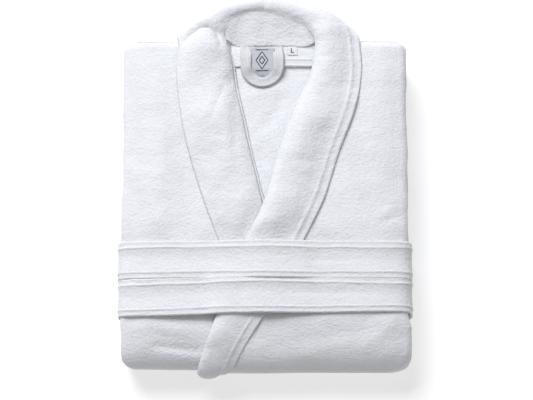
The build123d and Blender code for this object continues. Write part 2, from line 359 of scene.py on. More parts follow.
def cloth_sheet(name, grid, thickness, closed=False, shape=None, give=(settle,)):
    """A layer of cloth with a rounded rim, about a grid of points along and across its middle.

    A closed sheet is a tube round its rows. shape moves the outer face out from the middle."""
    rows, columns = grid.shape[:2]
    normal, across, along = sheet_normals(grid, closed)
    half = np.broadcast_to(np.asarray(thickness, float), (rows, columns))[..., None] / 2
    out = 0.0 if shape is None else shape[..., None]
    top = grid + normal * (half + out)
    bottom = grid - normal * (half - 0.5 * out)
    number = np.arange(rows * columns).reshape(rows, columns)
    count = rows * columns
    last = columns if closed else columns - 1
    here, beside = number[:, :last], np.roll(number, -1, axis=1)[:, :last]
    quads = np.stack([here[:-1], beside[:-1], beside[1:], here[1:]], axis=-1).reshape(-1, 4)
    faces = [quads, quads[:, ::-1] + count]
    if closed:
        loops = [(number[0], -along[0]), (number[-1][::-1], along[-1][::-1])]
    else:
        edge_ids = np.concatenate([number[0], number[1:, -1], number[-1, -2::-1], number[-2:0:-1, 0]])
        outward = np.concatenate([-along[0], across[1:, -1], along[-1, -2::-1], -across[-2:0:-1, 0]])
        for k, extra in ((columns - 1, across[0, -1]), (columns + rows - 2, along[-1, -1]),
                         (2 * columns + rows - 3, -across[-1, 0]), (0, -across[0, 0])):
            outward[k] = outward[k] + extra
        loops = [(edge_ids, unit(outward))]
    flat_grid, flat_half = grid.reshape(-1, 3), half.reshape(-1, 1)
    rims = []
    start = 2 * count
    for ids, outward in loops:
        rims.append(flat_grid[ids] + outward * flat_half[ids] * 0.9)
        following = np.roll(ids, -1)
        mid = start + np.arange(len(ids))
        mid_next = np.roll(mid, -1)
        faces.append(np.stack([mid, mid_next, following, ids], axis=-1))
        faces.append(np.stack([ids + count, following + count, mid_next, mid], axis=-1))
        start += len(ids)
    points = np.concatenate([top.reshape(-1, 3), bottom.reshape(-1, 3), *rims])
    for soften in give:
        points = soften(points)
    return new_object(name, points, np.concatenate(faces).tolist())


def nap(grid, seed, amount=1.0):
    """The unevenness of the pile as shape: short ridges across the robe."""
    height = bpy.context.scene.robe_sizes.nap / MM * amount
    x, y, z = grid[..., 0], grid[..., 1], grid[..., 2]
    fine = waves(x / 9, y / 5.5, z / 7, seed) + 0.8 * waves(x / 22, y / 14, z / 16, seed + 1)
    return height * fine


def spaced(low, high, pitch):
    return np.linspace(low, high, max(2, int(math.ceil(abs(high - low) / pitch)) + 1))


def paint(piece, finish):
    piece.data.materials.clear()
    piece.data.materials.append(finish)


def cover(piece, node, finish, flat, held, *under, body="robe", slot="terry"):
    """Puts a sheet of cloth in its node's place, with its finish; its flat size and what it lies on are not
    used.
    """
    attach(piece, body)
    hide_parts(node)
    paint(piece, material(finish))


# ---------- materials


class Socket:
    """A shader socket that takes part in Python sums."""

    def __init__(self, graph, socket):
        self.graph, self.socket = graph, socket

    def _sum(self, operation, *values):
        return self.graph.node("ShaderNodeMath", {"operation": operation}, dict(enumerate(values)))[0]

    def __add__(self, other):
        return self._sum("ADD", self, other)

    def __sub__(self, other):
        return self._sum("SUBTRACT", self, other)

    def __rsub__(self, other):
        return self._sum("SUBTRACT", other, self)

    def __mul__(self, other):
        return self._sum("MULTIPLY", self, other)

    __radd__ = __add__
    __rmul__ = __mul__


class Graph:
    """A material's nodes, made one at a time."""

    def __init__(self, name):
        self.material = bpy.data.materials.new(name)
        self.material.use_nodes = True
        self.tree = self.material.node_tree
        self.tree.nodes.clear()

    def node(self, kind, settings=None, inputs=None):
        made = self.tree.nodes.new(kind)
        for key, value in (settings or {}).items():
            if key == "stops":
                ramp = made.color_ramp
                while len(ramp.elements) < len(value):
                    ramp.elements.new(0.5)
                for element, (position, colour) in zip(ramp.elements, value):
                    element.position, element.color = position, colour
            else:
                setattr(made, key, value)
        for key, value in (inputs or {}).items():
            if isinstance(value, Socket):
                self.tree.links.new(value.socket, made.inputs[key])
            else:
                made.inputs[key].default_value = value
        return [Socket(self, output) for output in made.outputs]


def rgba(colour, scale=1.0):
    return tuple(min(1.0, c * scale) for c in colour) + (1.0,)


def object_place(graph, scale):
    coordinates = graph.node("ShaderNodeTexCoord")[3]
    return graph.node("ShaderNodeMapping", {}, {"Vector": coordinates, "Scale": scale})[0]


def finish_material(graph, base, roughness, height, distance, sheen):
    normal = graph.node("ShaderNodeBump", {}, {"Strength": 1.0, "Distance": distance, "Height": height})[0]
    shader = graph.node("ShaderNodeBsdfPrincipled", {}, {
        "Base Color": base, "Roughness": roughness, "Normal": normal, "Sheen Weight": sheen,
        "Sheen Roughness": 0.5, "Specular IOR Level": 0.25})[0]
    graph.node("ShaderNodeOutputMaterial", {}, {"Surface": shader})
    return graph.material


def noise(graph, place, scale, detail, roughness=0.5):
    return graph.node("ShaderNodeTexNoise", {}, {
        "Vector": place, "Scale": scale, "Detail": detail, "Roughness": roughness})[0]


def mixed(graph, share, dark, light):
    return graph.node("ShaderNodeMix", {"data_type": "RGBA"}, {0: share, 6: dark, 7: light})[2]


def terry_material(name, colour, streak=1.0):
    """Cut pile: fine tufts, faint ribs across the cloth and soft patches where the pile leans."""
    graph = Graph(name)
    tufts = noise(graph, object_place(graph, (1, 1, 1)), 850, 2, 0.6)
    grain = noise(graph, object_place(graph, (0.8, 1, 1)), 330, 3, 0.6)
    patches = noise(graph, object_place(graph, (0.75, 1, 1)), 75, 2)
    height = 0.3 * tufts + streak * grain + 0.6 * patches
    base = mixed(graph, 1.1 * grain + 0.5 * patches - 0.3, rgba(colour, 0.93), rgba(colour, 1.05))
    return finish_material(graph, base, 0.86 + 0.1 * tufts, height, 0.0012, 0.12)


def woven_material(name, colour, pitch=0.0009, contrast=0.06, sheen=0.05):
    """A plain or satin weave of fine threads."""
    graph = Graph(name)
    place = object_place(graph, (1, 1, 1))
    warp, weft = (
        graph.node("ShaderNodeTexWave", {"bands_direction": way}, {
            "Vector": place, "Scale": 0.3142 / pitch, "Distortion": 0.6, "Detail": 1})[1]
        for way in "XY"
    )
    uneven = noise(graph, place, 300, 2)
    height = warp * weft + 0.4 * uneven
    base = mixed(graph, height, rgba(colour, 1 - contrast), rgba(colour, 1 + contrast))
    return finish_material(graph, base, 0.7 + 0.15 * uneven, height, 0.0003, sheen)


MATERIALS = {}


def material(kind):
    """Makes each finish once."""
    if kind not in MATERIALS:
        colours = bpy.context.scene.robe_colours
        makers = {
            "terry": lambda: terry_material("white terry", colours.terry),
            "loop": lambda: terry_material("loop terry", colours.loop, 0.8),
            "belt": lambda: terry_material("belt terry", colours.belt, 0.9),
            "tape": lambda: woven_material("cotton tape", colours.tape),
            "tab": lambda: woven_material("tab satin", (0.88, 0.885, 0.90), 0.0006, 0.04, 0.1),
            "label": lambda: woven_material("label satin", colours.label, 0.0006, 0.08, 0.1),
            "thread": lambda: woven_material("dark thread", colours.thread, 0.0005, 0.3),
        }
        MATERIALS[kind] = makers[kind]()
    return MATERIALS[kind]


# ---------- the folded panels


def fold_route():
    """Stations along the folded route: a point on the outer face and the way into the stack, as (y, z)."""
    start = SHOULDER - np.array([0, 0.35, 1.0, 2.0, 3.4, 5.2, 7.2])
    front = np.concatenate([start, spaced(SHOULDER - 9.4, FOLD_Y, 2.7)])
    stations = [(y, TOP, 0, -1) for y in front]
    for angle in np.radians(np.linspace(0, 180, 42)[1:]):
        s, c = math.sin(angle), math.cos(angle)
        stations.append((FOLD_Y - FOLD_RADIUS * s, FOLD_Z + FOLD_RADIUS * c, s, -c))
    stations += [(y, UNDER, 0, 1) for y in spaced(FOLD_Y, TURN_Y, 6.5)[1:]]
    for angle in np.radians(np.linspace(180, 0, 20)[1:]):
        s, c = math.sin(angle), math.cos(angle)
        stations.append((TURN_Y + TURN_RADIUS * s, TURN_Z + TURN_RADIUS * c, -s, -c))
    stations += [(y, INNER_TOP, 0, -1) for y in spaced(TURN_Y, HEM_Y, 8.0)[1:]]
    return np.array(stations)


ROUTE = fold_route()


def folded_panel(name, x, depth):
    """A panel that follows the folded route; x and depth are given for each station and each point across."""
    y, z, into_y, into_z = (ROUTE[:, k, None] for k in range(4))
    grid = grid_of(x, y + into_y * depth, z + into_z * depth)
    seed = sum(map(ord, name)) % 97
    return cloth_sheet(name, grid, bpy.context.scene.robe_sizes.cloth / MM, shape=nap(grid, seed),
                       give=(square_ends, settle))


def front_panel(name, side, level, edge):
    """From the front's free edge round the side fold to the side seam behind the back."""
    outer, inner = level * PITCH + CLOTH / 2, SLAB - CLOTH / 2
    radius = (inner - outer) / 2
    turn_x = HALF_WIDTH - CLOTH / 2 - radius
    share = np.linspace(0, 1, int((turn_x + OVERLAP) / 2.7))[None, :]
    run_x = edge[:, None] * side * (1 - share) + turn_x * share
    angle = np.radians(np.linspace(-90, 90, 11)[1:-1])
    fold_x = np.broadcast_to(turn_x + radius * np.cos(angle), (len(edge), len(angle)))
    behind = spaced(turn_x, SEAM_GAP, 7.5)
    back_x = np.broadcast_to(behind, (len(edge), len(behind)))
    x = side * np.concatenate([run_x, fold_x, back_x], axis=1)
    fold_depth = (outer + inner) / 2 + radius * np.sin(angle)
    depth = np.concatenate([np.full(run_x.shape[1], outer), fold_depth, np.full(back_x.shape[1], inner)])
    if side < 0:
        x, depth = x[:, ::-1], depth[::-1]
    return folded_panel(name, x, depth[None, :])


def panel_edge(knots, beyond):
    """Where a front's free edge lies at each station."""
    drop = SHOULDER - ROUTE[:, 0]
    edge = smooth_line(knots, np.clip(drop, knots[0][0], knots[-1][0]))
    first_fold = int(np.argmax(ROUTE[:, 3] > -0.999))
    edge[first_fold:] = beyond
    return edge


class RobePanels(bpy.types.Operator):
    """Makes the back and the two fronts, folded as one stack"""

    bl_idname = "mesh.robe_panels"
    bl_label = "Body panels"

    def execute(self, context):
        left_edge = [(s, x + FRONT_HIDES) for s, x in LEFT_ROLL if s < 350] + [(FLAT_RUN, -OVERLAP)]
        right_edge = RIGHT_FRONT_EDGE + [(FLAT_RUN, OVERLAP)]
        left = front_panel("left_front", 1, 0, panel_edge(left_edge, -OVERLAP))
        right = front_panel("right_front", -1, 1, panel_edge(right_edge, OVERLAP))
        top, wing = 2 * PITCH + CLOTH / 2, 3 * PITCH + CLOTH / 2
        radius = (wing - top) / 2
        turn = HALF_WIDTH - PITCH - CLOTH / 2 - radius
        run = spaced(SEAM_GAP, turn, 8)
        angle = np.radians(np.linspace(90, -90, 7)[1:-1])
        half_x = np.concatenate([run, turn + radius * np.cos(angle)])
        half_depth = np.concatenate([np.full(len(run), wing), (wing + top) / 2 + radius * np.sin(angle)])
        middle = spaced(-turn, turn, 2.9)
        x = np.concatenate([-half_x, middle, half_x[::-1]])
        depth = np.concatenate([half_depth, np.full(len(middle), top), half_depth[::-1]])
        back = folded_panel("back", x[None, :], depth[None, :])
        for piece, node, width, under in (
            (left, "left_front_panel", FRONT_WIDTH, "back_panel"),
            (right, "right_front_panel", FRONT_WIDTH, "back_panel"),
            (back, "back_panel", BACK_WIDTH, "left_sleeve"),
        ):
            cover(piece, node, "terry", (width, ROBE_LENGTH), "folded", under)
        return {"FINISHED"}


# ---------- sleeves and their cuffs


def flat_tube(x0, x1, z0, z1, y0, y1, pitch):
    """The middle surface of a tube that lies flat, as rows along Y and columns round it."""
    radius, middle = (z1 - z0) / 2, (z0 + z1) / 2
    run = spaced(x0 + radius, x1 - radius, pitch)
    turn = np.radians(np.linspace(90, -90, 9)[1:-1])
    bulge, climb = radius * np.cos(turn), radius * np.sin(turn)
    x = np.concatenate([run, x1 - radius + bulge, run[::-1], x0 + radius - bulge])
    z = np.concatenate([np.full(len(run), z1), middle + climb, np.full(len(run), z0), middle - climb])
    return grid_of(x[None, :], spaced(y0, y1, pitch)[:, None], z[None, :])


class RobeSleeves(bpy.types.Operator):
    """Makes the sleeves and their turned-back cuffs, laid down the back inside the fold"""

    bl_idname = "mesh.robe_sleeves"
    bl_label = "Sleeves and cuffs"

    def execute(self, context):
        inset = CLOTH / 2
        for name in ("left", "right"):
            for part in ("sleeve", "cuff"):
                node = f"{name}_{part}"
                low, high = box_mm(node)
                grid = flat_tube(low[0] + inset, high[0] - inset, low[2] + inset, high[2] - inset,
                                 low[1] + 1.5, high[1] - 1.5, 5.0)
                grid[..., 0] += 1.6 * waves(grid[..., 1] / 40, grid[..., 2] / 15, 0.0, 31)
                piece = cloth_sheet(node + "_cloth", grid, CLOTH - 0.2, closed=True, shape=nap(grid, 41))
                size = (high - low) * MM
                cover(piece, node, "terry", (2 * size[0], size[1]), "folded", "back_panel")
        return {"FINISHED"}


# ---------- the collar

# How a lapel folds back: share of its width from the roll, and height above the front it lies on.
LAPEL_SHARE = np.array([0.42, 0.16, 0.0, 0.07, 0.24, 0.46, 0.74, 1.0])
LEFT_HEIGHT = np.array([2.1, 2.1, 5.2, 10.0, 13.0, 11.4, 6.0, 2.2])
RIGHT_HEIGHT = np.array([2.1, 2.1, 1.9, 4.8, 8.0, 8.6, 6.0, 2.2])

# Folds pressed into the right half: a line of (x, distance above the shoulder line), how deep, and how far
# it reaches on its right and on its left.
RIGHT_FOLDS = [
    ([(-56, -16), (-56, -4), (-62, 9), (-71, 14.5), (-80, 13.5), (-94, 4), (-102, -8)], 6.5, 4.6, 4.0),
    ([(-41, -60), (-50, -58), (-62, -88), (-68, -110)], 1.8, 5.0, 7.0),
]


def fold_dip(x, up, line, depth, right, left):
    """How deep a pressed fold is: sharp at its line, and softer away from it on each side."""
    line = np.array(line, float)
    lengths = np.linalg.norm(np.diff(line, axis=0), axis=1)
    reach = running_total(lengths)
    best = np.full(x.shape, 1e9)
    dip = np.zeros(x.shape)
    for k, length in enumerate(lengths):
        (x0, y0), (x1, y1) = line[k], line[k + 1]
        dx, dy = (x1 - x0) / length, (y1 - y0) / length
        along = np.clip((x - x0) * dx + (up - y0) * dy, 0, length)
        away = np.hypot(x - x0 - along * dx, up - y0 - along * dy)
        on_right = (x - x0) * dy - (up - y0) * dx > 0
        share = (reach[k] + along) / reach[-1]
        fade = np.clip(np.minimum(share, 1 - share) / 0.28, 0, 1)
        here = depth * fade * np.exp(-away / np.where(on_right, right, left))
        nearer = away < best
        best = np.where(nearer, away, best)
        dip = np.where(nearer, here, dip)
    return dip


def arch_point(outline, angle):
    """A point of the collar's outline behind the neck, as (x, y)."""
    half_width, rise, power = outline
    c, s = np.cos(angle), np.sin(angle)
    x = ARCH_MIDDLE + half_width * np.sign(c) * np.abs(c) ** (2 / power)
    y = SHOULDER + rise * np.abs(s) ** (2 / power)
    return np.stack([x, y], axis=-1)


def lapel_stations(roll, edge, heights, height_of):
    """Control points of a lapel from its far end up to the shoulder line."""
    s = spaced(roll[-1][0], 0, 6.0)
    roll_x, edge_x = smooth_line(roll, s), smooth_line(edge, s)
    net = np.empty((len(s), len(LAPEL_SHARE), 3))
    angle = np.clip((s - FLAT_RUN) / FOLD_RADIUS, 0, None)
    for k, (share, height) in enumerate(zip(LAPEL_SHARE, heights)):
        h = height_of(s, share, height)
        net[:, k, 0] = roll_x + share * (edge_x - roll_x)
        flat_y = SHOULDER - np.minimum(s, FLAT_RUN)
        net[:, k, 1] = flat_y - (FOLD_RADIUS + h) * np.sin(angle)
        net[:, k, 2] = TOP + h + (FOLD_RADIUS + h) * (np.cos(angle) - 1)
    return net


def arch_stations(side, level, heights, outline, hollow_outline):
    """Control points of the collar behind the neck, from the shoulder line to the middle of the back."""
    angle = np.radians(np.linspace(0, 90, 26)[1:])
    mirrored = angle if side > 0 else math.pi - angle
    turn = np.degrees(angle)
    hollow, outer = arch_point(hollow_outline, mirrored), arch_point(outline, mirrored)
    seam = np.stack([ARCH_MIDDLE + 3 + 54 * np.cos(mirrored), SHOULDER - 8 + 3 * np.sin(mirrored)], axis=-1)
    behind = np.empty((len(angle), 8, 3))
    stand = [(0.0, LINING + 1.8), (0.5, LINING + 7.5), (0.93, 78.5)]
    rolled = [(0.06, 80.0), (0.30, 84.5), (0.62, 85.5), (0.93, 77.0), (0.985, 60.0)]
    ease = 2.6 * np.cos(angle) if side > 0 else 0.0
    for k, (share, height) in enumerate(stand):
        behind[:, k, :2] = seam + (hollow - seam) * share
        behind[:, k, 2] = height - ease * min(1, 2 * share)
    for k, (share, height) in enumerate(rolled, len(stand)):
        behind[:, k, :2] = hollow + (outer - hollow) * share
        behind[:, k, 2] = height
    lapel = np.empty_like(behind)
    for k, (share, height) in enumerate(zip(LAPEL_SHARE, heights)):
        lapel[:, k, :2] = hollow + (outer - hollow) * share
        lapel[:, k, 2] = level + height + 2.0 * step(0, 20, turn)
    mix = step(4, 40, turn)[:, None, None]
    return lapel * (1 - mix) + behind * mix


def collar_sheet(name, net, side, seam_x):
    """Fills a net of control points, presses in the stitch line beside the outer edge and closes the seam."""
    chord = np.linalg.norm(np.diff(net, axis=1), axis=-1).mean(axis=0)
    knots = running_total(chord)
    across = spaced(0, knots[-1], 1.55)
    dense = np.swapaxes(hermite(knots, np.swapaxes(net, 0, 1), across), 0, 1)
    length = np.linalg.norm(np.diff(dense[:, len(across) // 2], axis=0), axis=-1)
    reach = running_total(length)
    grid = hermite(reach, dense, spaced(0, reach[-1], 1.9))
    sizes = bpy.context.scene.robe_sizes
    runs = np.linalg.norm(np.diff(grid, axis=1), axis=-1)
    from_edge = np.concatenate([np.cumsum(runs[:, ::-1], axis=1)[:, ::-1], np.zeros((len(grid), 1))], axis=1)
    band = sizes.band / MM
    x, y, z = grid[..., 0], grid[..., 1], grid[..., 2]
    pucker = 1 + 0.35 * waves(x / 7, y / 6, z / 9, 49)
    stitched = 1.0 if side > 0 else 0.4
    shape = -1.7 * stitched * pucker * np.exp(-(((from_edge - band) / 1.9) ** 2))
    shape += 1.2 * stitched * np.sin(np.clip(from_edge / band, 0, 1) * math.pi)
    shape += 1.5 * nap(grid, 51)
    # The two halves have their own waves, which fade out where they are sewn together.
    apart = 1 - (1 - step(0, 22, np.abs(x - seam_x))) * step(SHOULDER - 20, SHOULDER, y)
    shape += 0.8 * apart * waves(x / 26, y / 21, z / 20, 52 if side > 0 else 57)
    shape += 1.2 * np.exp(-(((x - seam_x) / 3.2) ** 2)) * step(SHOULDER - 2, SHOULDER + 12, y)
    up = y - SHOULDER
    lift = 1.6 * apart * waves(x / 34, y / 45, 0.0, 58 + side)
    if side < 0:
        for fold in RIGHT_FOLDS:
            lift = lift - fold_dip(x, up, *fold)
        lift += 3.4 * step(-34, -49, x) * step(-190, -110, up) * step(30, 0, up)
        lift += 4.5 * np.exp(-(((x + 75) / 25) ** 2) - ((up + 12) / 24) ** 2)
        lift -= 2.6 * np.exp(-(((x + 45) / 7) ** 2) - ((up + 52) / 8) ** 2)
    upper = step(60, 66, z) * step(-FLAT_RUN, -FLAT_RUN + 20, up)
    grid = np.stack([x, y, z + lift * upper], axis=-1)
    if side > 0:
        grid, shape = grid[::-1], shape[::-1]
    return cloth_sheet(name, grid, sizes.collar_cloth / MM, shape=shape)


class RobeCollar(bpy.types.Operator):
    """Makes the two halves of the shawl collar, rolled over, with a stitched band along the edge"""

    bl_idname = "mesh.robe_collar"
    bl_label = "Shawl collar"

    def execute(self, context):
        def under_belt(s):
            return step(222, 250, s) * step(370, 343, s)

        def left_height(s, share, height):
            flat = step(340, 384, s)
            return height * (1 - 0.55 * flat) * (1 - 0.5 * under_belt(s))

        def right_height(s, share, height):
            roll_x, edge_x = smooth_line(RIGHT_ROLL, s), smooth_line(RIGHT_EDGE, s)
            x = roll_x + share * (edge_x - roll_x)
            over = smooth_line(LEFT_ROLL, s)
            press = step(26, 2, over - x) * step(158, 210, s)
            return height * (1 - 0.62 * press) * (1 - 0.5 * under_belt(s)) - PITCH

        left = lapel_stations(LEFT_ROLL, LEFT_EDGE, LEFT_HEIGHT, left_height)
        right = lapel_stations(RIGHT_ROLL, RIGHT_EDGE, RIGHT_HEIGHT, right_height)
        left_arch = arch_stations(1, TOP, LEFT_HEIGHT, LEFT_ARCH, LEFT_HOLLOW)
        right_arch = arch_stations(-1, TOP - PITCH, RIGHT_HEIGHT, RIGHT_ARCH, RIGHT_HOLLOW)
        left_net = blur(np.concatenate([left, left_arch]), 2)
        right_net = blur(np.concatenate([right, right_arch]), 2)
        seam_x = 1.0

        def meet(net, sign):
            """Moves the last stations so that the two halves meet at the middle of the back."""
            share = step(-14, 0, np.arange(len(net)) - (len(net) - 1))[:, None]
            gap = net[-1, :, 0] - (seam_x - sign * 1.6)
            net[..., 0] -= share * gap[None, :]
            return net

        for node, net, side, length, under in (
            ("left_collar", meet(left_net, 1), 1, LEFT_COLLAR_LENGTH, "left_front"),
            ("right_collar", meet(right_net, -1), -1, RIGHT_COLLAR_LENGTH, "right_front"),
        ):
            piece = collar_sheet(node + "_cloth", net, side, seam_x)
            area = sum(p.area for p in piece.data.polygons) / 2
            cover(piece, node, "terry", (round(area / length, 3), length), "folded", under)
        return {"FINISHED"}


# ---------- the pieces inside the neck


def neck_sag(y):
    """How far the label and the loop sag on to the lining below the neck tape."""
    return 4.2 * step(SHOULDER - 33, SHOULDER - 47, y)


def flat_patch(name, node, grow, lift, thickness, pitch, shape, sag=None):
    """A small flat piece of cloth over its node's box.

    grow is how far it passes the box at -X, +X, -Y and +Y, and lift is its height above the box's middle."""
    low, high = box_mm(node)
    x = spaced(low[0] - grow[0], high[0] + grow[1], pitch)
    y = spaced(low[1] - grow[2], high[1] + grow[3], pitch)
    grid = grid_of(x[None, :], y[:, None], (low[2] + high[2]) / 2 + lift)
    if sag is not None:
        grid[..., 2] -= sag(grid[..., 1])
    return cloth_sheet(name, grid, thickness, shape=shape(grid))


class RobeNeck(bpy.types.Operator):
    """Makes the facing, the tape below it and the bindings of the collar seams"""

    bl_idname = "mesh.robe_neck"
    bl_label = "Neck facing, tape and bindings"

    def execute(self, context):
        low, high = box_mm("back_neck_facing")
        size = (high - low) * MM
        tuck_right, tuck_left = 9, 8
        facing = flat_patch("neck_facing_cloth", "back_neck_facing", (tuck_right, tuck_left, 0, -1), 0.0,
                            2.2, 1.6, lambda g: nap(g, 61))
        flat = (size[0] + (tuck_right + tuck_left) * MM, size[1])
        cover(facing, "back_neck_facing", "terry", flat, "stretched", "back")

        low, high = box_mm("neck_tape")
        size = (high - low) * MM
        behind_label = 38

        def ridges(g):
            from_edge = np.minimum(g[..., 1] - low[1], high[1] - g[..., 1])
            return 0.9 * np.exp(-(((from_edge - 2.2) / 0.9) ** 2))

        tape = flat_patch("neck_tape_cloth", "neck_tape", (-behind_label, tuck_left, -1, -1), -0.7,
                          1.2, 1.0, ridges)
        flat = (size[0] - (behind_label - tuck_left) * MM, size[1])
        cover(tape, "neck_tape", "tape", flat, "stretched", "back", slot="binding")

        for node, knots, first, last, width in (
            ("left_seam_binding", LEFT_ROLL, 2.0, 11.0, 0.010),
            ("right_seam_binding", RIGHT_ROLL, -6.0, 4.0, 0.015),
        ):
            low, high = box_mm(node)
            drop = spaced(0, high[1] - low[1], 2.0)[:, None]
            across = np.linspace(first, last, 9)[None, :]
            grid = grid_of(smooth_line(knots, drop[:, 0])[:, None] + across, high[1] - drop,
                           (low[2] + high[2]) / 2 + 0.4)
            ridge = 0.6 * np.exp(-(((across - last + 1.6) / 1.1) ** 2)) + nap(grid, 63)
            binding = cloth_sheet(node + "_cloth", grid[::-1], 2.0, shape=ridge[::-1])
            flat = (width, (high[1] - low[1]) * MM * 1.05)
            cover(binding, node, "tape", flat, "stretched", "back", slot="binding")
        return {"FINISHED"}


class RobeLoop(bpy.types.Operator):
    """Makes the hanging loop, a rolled strap bent into a U"""

    bl_idname = "mesh.robe_loop"
    bl_label = "Hanging loop"

    def execute(self, context):
        low, high = box_mm("hanging_loop")
        middle_x = (low[0] + high[0]) / 2
        reach = (high[0] - low[0]) / 2 - STRAP_WIDTH / 2
        bend_y = low[1] + STRAP_WIDTH / 2 + reach
        legs = spaced(high[1] - 5.5, bend_y, 1.5)[:-1]
        turn = np.radians(np.linspace(180, 360, 44))
        x = np.concatenate([np.full(len(legs), middle_x - reach), middle_x + reach * np.cos(turn),
                            np.full(len(legs), middle_x + reach)])
        y = np.concatenate([legs, bend_y + reach * np.sin(turn), legs[::-1]])
        outward = np.concatenate([np.tile([-1.0, 0, 0], (len(legs), 1)),
                                  np.stack([np.cos(turn), np.sin(turn), turn * 0], -1),
                                  np.tile([1.0, 0, 0], (len(legs), 1))])
        along = np.arange(len(x)) / len(x)
        bow = 1.6 * np.exp(-(((along - 0.72) / 0.1) ** 2)) - 1.0 * np.exp(-(((along - 0.33) / 0.08) ** 2))
        sewn = 5.0 * step(high[1] - 22, high[1] - 5, y) + neck_sag(y)
        path = np.stack([x, y, (low[2] + high[2]) / 2 - 0.5 - sewn], -1)
        path += outward * (0.55 * waves(along * 7, 0.0, 0.0, 71) + bow * 0.6)[:, None]
        way = outward.copy()
        way[:, 2] = 0.10 * waves(along * 5, 3.0, 0.0, 73)
        share = np.linspace(-0.5, 0.5, 15)
        width = STRAP_WIDTH * (0.94 + 0.05 * waves(along * 6, 9.0, 0.0, 75))
        grid = path[:, None, :] + unit(way)[:, None, :] * (share[None, :, None] * width[:, None, None])
        crown = 1.0 - (2 * share) ** 2
        piping = 1.1 * np.exp(-(((share + 0.42) / 0.07) ** 2)) - 0.8 * np.exp(-(((share + 0.27) / 0.05) ** 2))
        shape = (crown + piping)[None, :] + 1.6 * nap(grid, 77)
        piece = cloth_sheet("hanging_loop_strap", grid[::-1], 3.0, shape=shape[::-1])
        flat = (STRAP_WIDTH * MM, LOOP_LENGTH)
        cover(piece, "hanging_loop", "loop", flat, "folded", "neck_label", body="hanging_loop")
        return {"FINISHED"}


# A stroke of satin stitch in section: place across it and height, as shares of its half width and rise.
STROKE = [(-1, -0.2), (-0.8, 0.55), (-0.3, 0.95), (0.3, 0.95), (0.8, 0.55), (1, -0.2)]


def stitch(name, strokes, z, body):
    """Raised strokes of dark thread between points, as one piece that lies on a label or a tab."""
    half_width, rise = 0.5, 0.3
    points, faces = [], []
    n = len(STROKE)
    for (x0, y0), (x1, y1) in strokes:
        direction = np.array([x1 - x0, y1 - y0, 0.0])
        length = np.linalg.norm(direction)
        direction /= length
        way = np.array([-direction[1], direction[0], 0.0])
        steps = max(2, int(length / 0.5) + 1)
        first = len(points)
        for k in range(steps):
            t = k / (steps - 1)
            taper = min(1.0, 0.55 + 6 * min(t, 1 - t))
            ripple = 1 + 0.08 * (-1) ** k
            place = np.array([x0, y0, z]) + direction * length * t
            place[2] -= neck_sag(place[1])
            for across, up in STROKE:
                height = np.array([0, 0, up * rise * taper * ripple])
                points.append(place + way * across * half_width * taper + height)
        for k in range(steps - 1):
            for j in range(n):
                a, b = first + k * n + j, first + k * n + (j + 1) % n
                faces.append((a + n, b + n, b, a))
        faces.append(tuple(range(first, first + n)))
        faces.append(tuple(range(first + (steps - 1) * n, first + steps * n))[::-1])
    piece = new_object(name, settle(np.array(points)), faces)
    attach(piece, body)
    paint(piece, material("thread"))


class RobeLabels(bpy.types.Operator):
    """Makes the neck label with a plain woven motif, and the size tab with its letter"""

    bl_idname = "mesh.robe_labels"
    bl_label = "Neck label and size tab"

    def execute(self, context):
        low, high = box_mm("neck_label")
        middle = (low[0] + high[0]) / 2 - 1.6
        high[1] -= 7.5
        label = flat_patch("neck_label_satin", "neck_label", (-3, -5.5, 0, -7.5), 0.0, 0.6, 1.2,
                           lambda g: 0.25 * waves(g[..., 0] / 11, g[..., 1] / 9, 0.0, 81), neck_sag)
        size = (high - low) * MM
        flat = (size[0] - 8.5 * MM, size[1])
        cover(label, "neck_label", "label", flat, "stretched", "neck_tape_cloth", slot="woven_label")
        y = (low[1] + high[1]) / 2 + 1.5
        half_wide, half_high, half_line = 7.5, 11, 8
        strokes = []
        for share in (1.0, 0.45):
            wide, tall = half_wide * share, half_high * share
            corners = [(middle, y + tall), (middle + wide, y), (middle, y - tall), (middle - wide, y),
                       (middle, y + tall)]
            strokes += list(zip(corners, corners[1:]))
        for away in (-12.9, 13.1):
            strokes.append(((middle - half_line, y + away), (middle + half_line, y + away)))
        stitch("neck_label_motif", strokes, high[2] + 0.15, "robe")

        low, high = box_mm("size_tab")
        tab = flat_patch("size_tab_satin", "size_tab", (0, 0, 0, 0), -0.2, 0.8, 1.0,
                         lambda g: 0.12 * waves(g[..., 0] / 5, g[..., 1] / 5, 0.0, 85))
        cover(tab, "size_tab", "tab", (TAB_SIZE, TAB_SIZE), "stretched", "neck_facing_cloth",
              body="size_tab", slot="size_tab")
        x, y = (low[0] + high[0]) / 2, (low[1] + high[1]) / 2
        corner = (x - 1.3, y - 2.6)
        strokes = [((x - 1.3, y + 2.8), corner), (corner, (x + 1.9, y - 2.6))]
        stitch("size_letter", strokes, high[2] + 0.1, "size_tab")
        return {"FINISHED"}


# ---------- pockets and belt loops


